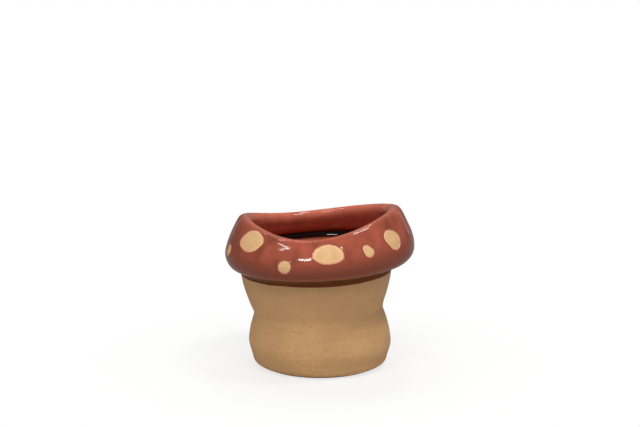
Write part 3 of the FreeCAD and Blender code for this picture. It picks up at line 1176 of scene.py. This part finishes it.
@dataclass
class CapGlaze:
    """Red glaze over the outside of the cap, with a beaded window round each spot.

    A span is where a look starts and ends along a section, from the neck at 0 to the crest at 1.
    """

    form: CapForm
    glaze: Material
    seats: list[SpotSeat]
    cuts: int = 75
    steps: int = 420
    thickness: float = 0.5
    # Spans of the darkening towards the neck: partly the glaze breaking brown, partly painted shade on the
    # lower cap and under it.
    low_span: Span = (0.32, 0.74)
    under_span: Span = (0.12, 0.24)
    crest_span: Span = (0.955, 1.0)
    crest_thin: float = 0.2
    search_swell: float = 1.4
    search_reach: float = 12.0
    window_gap: float = 0.3
    window_fade: float = 1.8
    bead: float = 0.1
    bead_width: float = 1.3
    rim_margins: tuple[float, ...] = (0.62, 0.34, 0.12, 0.0)
    rim_lifts: tuple[float, ...] = (0.88, 0.72, 0.5, 0.05)
    rim_thins: tuple[float, ...] = (0.15, 0.6, 1.0, 1.0)

    def build(self) -> None:
        """Builds the glaze."""
        add_piece("cap_glaze", self.mesh(), self.glaze)

    def mesh(self) -> Mesh:
        """Coat over the outside, cut at the spots and given its thickness.

        Returns:
            The mesh in metres.
        """
        bm = Shapes.tube(self.cuts, self.steps)
        bearing, place, lift, low, edge, under = number_layers(
            bm, "bearing", "place", "lift", "low", "edge", "under"
        )
        for vert in bm.verts:
            vert[bearing] = math.atan2(vert.co.y, vert.co.x)
            vert[place] = vert.co.z
            vert[lift] = self.form.glaze
            # Painted shade in part: low and under darken the cap towards its neck.
            vert[low] = 1 - smooth_step(*self.low_span, vert.co.z)
            vert[under] = 1 - smooth_step(*self.under_span, vert.co.z)
            vert[edge] = self.crest_thin * smooth_step(*self.crest_span, vert.co.z)
            vert.co = self.form.point(vert[bearing], vert[place])
        for seat in self.seats:
            self.cut_window(bm, seat)
        bm.normal_update()
        for vert in bm.verts:
            vert.co += vert.normal * (vert[lift] * MM)
        bm.normal_update()
        bmesh.ops.solidify(bm, geom=bm.faces[:], thickness=self.thickness * MM)
        return bm

    def cut_window(self, bm: Mesh, seat: SpotSeat) -> None:
        """Cuts the glaze along a spot's outline and turns its edge down to the clay.

        Args:
            bm: Mesh of the coat, placed on the clay.
            seat: Seat of the spot.
        """
        bearing, place, lift, window, edge = number_layers(bm, "bearing", "place", "lift", "window", "edge")
        inner = self.form.window_margin
        outer = inner + self.rim_margins[0] + self.window_gap
        ratios: dict[bmesh.types.BMVert, float] = {}
        widest = max(seat.spot.half_width, seat.spot.half_height)
        reach = (widest * self.search_swell + self.search_reach) * MM
        for vert in bm.verts:
            if (vert.co - seat.centre).length > reach:
                continue
            local = seat.local(vert.co)
            ratio = seat.ratio(*local, outer)
            ratios[vert] = ratio
            gap = (1 - 1 / ratio) * math.hypot(*local) if ratio > 1 else 0.0
            vert[window] = max(vert[window], math.exp(-gap / self.window_fade))
            bead = self.bead * math.exp(-(gap / self.bead_width) ** 2)
            vert[lift] = max(vert[lift], self.form.glaze + bead)
        on_line = set()
        for side in bm.edges:
            a, b = side.verts
            if a in ratios and b in ratios and (ratios[a] - 1) * (ratios[b] - 1) < 0:
                on_line.add(min((a, b), key=lambda v: abs(ratios[v] - 1)))
        for vert in on_line:
            self.slide(seat, vert, (bearing, place), outer)
            ratios[vert] = 1.0
        bmesh.ops.connect_verts(bm, verts=list(on_line))
        inside = [
            face for face in bm.faces
            if all(vert in ratios for vert in face.verts)
            and seat.ratio(*seat.local(face.calc_center_median()), outer) < 1
            and all(ratios[vert] <= 1 for vert in face.verts)
        ]
        bmesh.ops.delete(bm, geom=inside, context="FACES")
        rim = [side for side in bm.edges if side.is_boundary and all(v in on_line for v in side.verts)]
        for margin, height, thin in zip(self.rim_margins, self.rim_lifts, self.rim_thins):
            grown = bmesh.ops.extrude_edge_only(bm, edges=rim)["geom"]
            for vert in (item for item in grown if isinstance(item, bmesh.types.BMVert)):
                self.slide(seat, vert, (bearing, place), inner + margin)
                vert[lift], vert[edge] = height, thin
            rim = [item for item in grown if isinstance(item, bmesh.types.BMEdge)]

    def slide(self, seat: SpotSeat, vert: bmesh.types.BMVert, layers: tuple[Layer, Layer],
              margin: float) -> None:
        """Moves a vertex over the cap, straight from a spot's middle, onto the spot's widened outline.

        Args:
            seat: Seat of the spot.
            vert: Vertex to move.
            layers: Layers of its bearing and place.
            margin: Millimetres outside the spot's outline.
        """
        bearing, place = layers
        x, y = seat.local(vert.co)
        scale = 1 / seat.ratio(x, y, margin)
        vert[bearing], vert[place] = seat.solve(x * scale, y * scale, (vert[bearing], vert[place]))
        vert.co = self.form.point(vert[bearing], vert[place])


@dataclass
class Lining:
    """Glaze from the crest of the lip over the inside of the cap and stalk to the middle of the floor.

    The cap's end and the wall's end are shares of that way. The spans of the painted shade are places on the
    cap.
    """

    form: CapForm
    glaze: Material
    points: int = 256
    steps: int = 280
    sink: float = 0.12
    cap_end: float = 0.45
    wall_end: float = 0.8
    pole_points: float = 2.1
    coil_miter: float = 0.41
    place_step: float = 0.004
    turn_step: float = 0.01
    crest_end: float = 0.015
    crest_thin: float = 0.2
    shade_top: Span = (0.42, 0.56)
    shade_foot: Span = (0.27, 0.35)

    def build(self) -> None:
        """Builds the lining."""
        add_piece("lining_glaze", self.mesh(), self.glaze)

    def mesh(self) -> Mesh:
        """Closed coat: down its seen side to the middle of the floor, and back up inside the clay.

        Returns:
            The mesh in metres.
        """
        bm = Shapes.ring(self.points, self.steps)
        edge, low = number_layers(bm, "edge", "low")
        wall = self.form.stalk.inside_line()
        for vert in bm.verts:
            angle, share = Shapes.walk(vert.co, self.points)
            down = 1 - abs(1 - 2 * share)
            vert.co = self.point(angle, down, self.form.glaze if share <= 0.5 else self.sink, wall)
            vert[edge] = self.crest_thin * (1 - smooth_step(0.0, self.crest_end, down))
            place = 1 - down / self.cap_end
            # Painted shade: the pocket under the lip is marked low, which the lining's glaze lays near black.
            vert[low] = (1 - smooth_step(*self.shade_top, place)) * smooth_step(*self.shade_foot, place)
        return bm

    def point(self, angle: float, down: float, lift: float, wall: Section) -> Vector:
        """Point of the lining.

        Args:
            angle: Bearing round the pot.
            down: Share of the way from the crest to the middle of the floor.
            lift: Millimetres off the clay.
            wall: Inside line of the stalk.

        Returns:
            The point in metres.
        """
        if down <= self.cap_end:
            return self.cap_point(angle, 1 - down / self.cap_end, lift)
        stalk = self.form.stalk
        foot = stalk.coil_foot - lift * self.coil_miter
        floor = stalk.floor_top + lift
        if down <= self.wall_end:
            radius, height, _ = wall.at((down - self.cap_end) / (self.wall_end - self.cap_end))
            radius = min(radius - lift, foot + height - floor) if height > floor else foot
            height = max(height, floor)
            return stalk.place(angle, height, radius - stalk.radius.at(height))
        flat = 1 - self.wall_end - self.pole_points / self.points
        return MM * on_ring(foot * max(1 - (down - self.wall_end) / flat, 0), angle, floor)

    def cap_point(self, angle: float, place: float, lift: float) -> Vector:
        """Point of the lining inside the cap, square off the clay and upright on the crest.

        Args:
            angle: Bearing round the cap.
            place: Share of the way from the neck to the crest.
            lift: Millimetres off the clay.

        Returns:
            The point in metres.
        """
        form, step, turn = self.form, self.place_step, self.turn_step
        ahead = form.point(angle, min(place + step, 1), Side.INSIDE)
        behind = form.point(angle, max(place - step, 0), Side.INSIDE)
        aside = form.point(angle + turn, place, Side.INSIDE) - form.point(angle - turn, place, Side.INSIDE)
        out, upright = (ahead - behind).cross(aside).normalized(), Vector((0, 0, 1))
        if place >= 1:
            out = upright
        elif place > 1 - step:
            out = (out + upright).normalized()
        return form.point(angle, place, Side.INSIDE) + out * (lift * MM)


@dataclass
class SpotPads:
    """Patches of pale slip that fill the windows, a little domed and uneven."""

    form: CapForm
    slip: Material
    seats: list[SpotSeat]
    points: int = 56
    insets: tuple[float, ...] = (0.025, 0.035, 0.06, 0.12, 0.18, 0.2, 0.2)
    thickness: float = 0.45
    gap: float = 0.03
    sink: float = 0.15
    rounding: float = 0.3
    rounding_start: float = 0.9
    dent: float = 0.05
    dent_pitch: float = 2.6
    edge_span: Span = (0.8, 0.96)

    def build(self) -> None:
        """Builds a pad in each window."""
        for seat in self.seats:
            add_piece(seat.spot.name, self.mesh(seat), self.slip)

    def mesh(self, seat: SpotSeat) -> Mesh:
        """Closed pad, which reaches a little way into the clay.

        Args:
            seat: Seat of the spot.

        Returns:
            The mesh in metres.
        """
        spot, pitch = seat.spot, self.dent_pitch
        bm = Shapes.disc(self.points, self.insets)
        edge, = number_layers(bm, "edge")
        for vert in bm.verts:
            out = math.hypot(vert.co.x, vert.co.y)
            turn = math.atan2(vert.co.y, vert.co.x)
            width, height = spot.reach(turn, self.form.window_margin - self.gap)
            x, y = width * vert.co.x, height * vert.co.y
            near_edge = max((out - self.rounding_start) / (1 - self.rounding_start), 0)
            lift = self.thickness * (1 - self.rounding * near_edge ** 2)
            lift += self.dent * noise.noise(Vector((x / pitch, y / pitch, spot.bearing)))
            if vert.co.z < -0.5:
                lift = -self.sink
            vert[edge] = smooth_step(*self.edge_span, out)
            vert.co = self.form.point(*seat.solve(x, y, seat.start)) + seat.out * (lift * MM)
        return bm


@dataclass(frozen=True)
class Lamp:
    """Soft box: where it hangs as seen from the pot, how wide it looks, and how bright it is.

    Lengths are metres, bearings and climbs degrees. It is aimed at a height on the pot's axis.
    """

    name: str
    bearing: float
    climb: float
    distance: float
    width: float
    height: float
    power: float
    roll: float = 0.0
    glossy: bool = True
    aim_height: float = 0.1

    def hang(self) -> None:
        """Adds the lamp to the scene, aimed at the cap."""
        data = bpy.data.lights.new(self.name, "AREA")
        data.shape, data.size, data.size_y, data.energy = "RECTANGLE", self.width, self.height, self.power
        turn, up = math.radians(self.bearing), math.radians(self.climb)
        away = on_ring(math.cos(up), turn, math.sin(up))
        roll = Matrix.Rotation(math.radians(self.roll), 3, "Z")
        lamp = add_object(self.name, data)
        lamp.location = Vector((0, 0, self.aim_height)) + away * self.distance
        lamp.visible_glossy = self.glossy
        lamp.rotation_euler = (away.to_track_quat("Z", "Y").to_matrix() @ roll).to_euler()


@dataclass
class Studio:
    """Plain white sweep, soft boxes and the camera of the photograph.

    Places and spans are in metres, the sensor and the lens in millimetres.
    """

    lamps: tuple[Lamp, ...]
    ambient: float = 0.22
    glint: float = 0.14
    floor_half: float = 6.0
    floor_colour: Colour = (0.72, 0.71, 0.7, 1.0)
    floor_mirrored: Colour = (0.16, 0.15, 0.14, 1.0)
    shadow_span: Span = (0.08, 0.24)
    shadow_white: float = 0.75
    aim: Triple = (0.0, 0.0, 0.065)
    distance: float = 1.4
    climb_degrees: float = 13.31
    sensor: float = 36.0
    lens: float = 98.44
    shift: float = 0.11

    def build(self) -> None:
        """Builds the stage."""
        for lamp in self.lamps:
            lamp.hang()
        self.floor()
        self.world()
        self.camera()
        bpy.context.scene.view_settings.view_transform = "Standard"

    def rays(self, graph: Graph) -> tuple[Value, Value]:
        """Rays that show the background, and rays that carry gloss.

        Args:
            graph: Graph to build in.

        Returns:
            How much of the background a ray shows, and whether it is a glossy ray.
        """
        path = graph.node("ShaderNodeLightPath", {}, {})
        camera, gloss, through = (
            Value(graph, path.outputs[name])
            for name in ("Is Camera Ray", "Is Glossy Ray", "Is Transmission Ray")
        )
        return camera.most(gloss * self.glint).most(through), gloss

    def floor(self) -> None:
        """White floor that keeps a faint shadow of the pot."""
        material, graph = new_material("floor_white")
        seen, gloss = self.rays(graph)
        shade = graph.paint(self.floor_colour, (gloss, self.floor_mirrored))
        lit = graph.node("ShaderNodeBsdfDiffuse", {}, {"Color": shade})
        white = graph.node("ShaderNodeEmission", {}, {"Color": WHITE, "Strength": 1.0})
        place = graph.node("ShaderNodeTexCoord", {}, {})
        away = graph.node("ShaderNodeVectorMath", {"operation": "LENGTH"}, {0: place.outputs["Object"]})
        clear = Value(graph, away.outputs["Value"]).span(*self.shadow_span)
        cover = clear * (1 - self.shadow_white) + self.shadow_white
        both = graph.node(
            "ShaderNodeMixShader", {}, {0: seen * cover, 1: lit.outputs[0], 2: white.outputs[0]}
        )
        graph.node("ShaderNodeOutputMaterial", {}, {"Surface": both.outputs[0]})
        bm = bmesh.new()
        bmesh.ops.create_grid(bm, x_segments=1, y_segments=1, size=self.floor_half)
        add_mesh("floor", bm, material)

    def world(self) -> None:
        """White surroundings, dimmer as a light than as a background."""
        world = bpy.data.worlds.new("studio")
        bpy.context.scene.world = world
        world.use_nodes = True
        graph = Graph(world.node_tree)
        seen, gloss = self.rays(graph)
        strength = seen.most((1 - gloss) * self.ambient)
        back = graph.node("ShaderNodeBackground", {}, {"Color": WHITE, "Strength": strength})
        graph.node("ShaderNodeOutputWorld", {}, {"Surface": back.outputs[0]})

    def camera(self) -> None:
        """Camera at the photograph's viewing angle."""
        data = bpy.data.cameras.new("camera")
        data.sensor_fit, data.sensor_width = "HORIZONTAL", self.sensor
        data.lens, data.shift_y = self.lens, self.shift
        camera = add_object("camera", data)
        climb = math.radians(self.climb_degrees)
        back = Vector((0, -math.cos(climb), math.sin(climb)))
        camera.location = Vector(self.aim) + back * self.distance
        camera.rotation_euler = (-back).to_track_quat("-Z", "Y").to_euler()
        bpy.context.scene.camera = camera


BARE_CLAY = ClayFinish(
    "bare_clay", body=(0.62, 0.355, 0.16, 1.0), dark=(0.44, 0.248, 0.111, 1.0),
    pale=(0.69, 0.415, 0.195, 1.0),
)
# Its low and under marks darken the lower cap and its underside: partly a browner break, partly painted
# shade.
RED_GLAZE = GlazeFinish(
    "red_glaze", body=(0.37, 0.085, 0.051, 1.0), dark=(0.16, 0.04, 0.02, 1.0), thin=(0.6, 0.25, 0.16, 1.0),
    mottle=0.75,
)
# Its near-black dark is painted shade in the pocket under the lip, and a little of it shows in the mottle.
LINING_GLAZE = GlazeFinish(
    "lining_red_glaze", body=(0.5, 0.125, 0.075, 1.0), dark=(0.015, 0.003, 0.002, 1.0),
    thin=(0.5, 0.19, 0.12, 1.0), mottle=0.2, low_shade=1.0,
)
BROWN_GLAZE = GlazeFinish(
    "brown_glaze", body=(0.155, 0.036, 0.003, 1.0), dark=(0.09, 0.02, 0.002, 1.0),
    thin=(0.2, 0.08, 0.03, 1.0), roughness=0.4, ior=1.2,
)
PALE_SLIP = SlipFinish(
    "pale_slip", body=(0.66, 0.412, 0.195, 1.0), warm=(0.58, 0.34, 0.15, 1.0), ring=(0.74, 0.42, 0.22, 1.0)
)
SPOTS = (
    Spot("spot_front_large", -84.7, 0.569, 11.27, 7.59, -6.0, 0.0, 0.03, 90.0),
    Spot("spot_front_small", -111.0, 0.13, 4.54, 4.2, 0.0, 0.0, 0.02, 154.0),
    Spot("spot_left_large", -141.1, 0.734, 12.88, 7.25, -7.7, 0.18, 0.02, 74.0),
    Spot("spot_left_edge", -164.1, 0.27, 4.5, 4.0, 0.0, 0.0, 0.04, 20.0),
    Spot("spot_right_pair", -59.0, 0.422, 3.99, 4.07, 0.0, 0.137, 0.065, 116.0),
    Spot("spot_right_oval", -37.4, 0.517, 7.79, 7.65, -2.0, 0.1, 0.06, 139.0),
    Spot("spot_right_edge", 5.0, 0.3, 6.21, 5.18, 0.0, 0.0, 0.05, 75.0),
    Spot("spot_back_right_large", 27.0, 0.6, 10.35, 7.59, 8.0, 0.0, 0.05, 30.0),
    Spot("spot_back_right_small", 54.0, 0.2, 4.37, 4.26, 0.0, 0.0, 0.04, 50.0),
    Spot("spot_back_large", 86.0, 0.56, 10.81, 7.82, -6.0, 0.0, 0.06, 80.0),
    Spot("spot_back_left_small", 113.0, 0.22, 4.83, 4.49, 0.0, 0.0, 0.04, 15.0),
    Spot("spot_back_left_oval", 139.0, 0.58, 9.2, 7.36, 12.0, 0.0, 0.05, 55.0),
    Spot("spot_left_small", 168.0, 0.62, 4.95, 4.72, 0.0, 0.0, 0.03, 35.0),
)
LAMPS = (
    Lamp("front_soft_box", -86.0, 54.0, 1.5, 0.8, 0.8, 12.0, glossy=False),
    Lamp("back_soft_box", 90.0, 50.0, 1.5, 1.1, 0.8, 5.5, glossy=False),
    Lamp("front_left_bar", -117.0, 51.7, 1.3, 0.25, 0.085, 2.0),
    Lamp("right_bar", -28.0, 66.5, 1.3, 0.34, 0.2, 6.0, -20.0),
    Lamp("left_bar", -157.0, 59.5, 1.3, 0.03, 0.28, 0.6),
    Lamp("top_bar", 80.0, 68.0, 1.3, 0.07, 0.45, 2.4),
    Lamp("top_left_bar", 142.0, 69.0, 1.3, 0.07, 0.45, 2.4),
    Lamp("back_left_strip", 120.0, 10.0, 1.3, 0.03, 0.5, 0.03),
    Lamp("back_right_strip", 55.0, 10.0, 1.3, 0.03, 0.5, 0.06),
)


def main() -> None:
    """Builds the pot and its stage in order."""
    logging.basicConfig(level=logging.INFO, format="%(name)s: %(message)s")
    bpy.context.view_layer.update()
    clay, red, lining, brown, slip = (
        finish.material() for finish in (BARE_CLAY, RED_GLAZE, LINING_GLAZE, BROWN_GLAZE, PALE_SLIP)
    )
    stalk_form = StalkForm()
    cap_form = CapForm(stalk_form)
    seats = [SpotSeat(spot, cap_form) for spot in SPOTS]
    Stalk(stalk_form, clay, brown).build()
    CapShell(cap_form, clay).build()
    CapGlaze(cap_form, red, seats).build()
    Lining(cap_form, lining).build()
    SpotPads(cap_form, slip, seats).build()
    Studio(LAMPS).build()


if __name__ == "__main__":
    main()
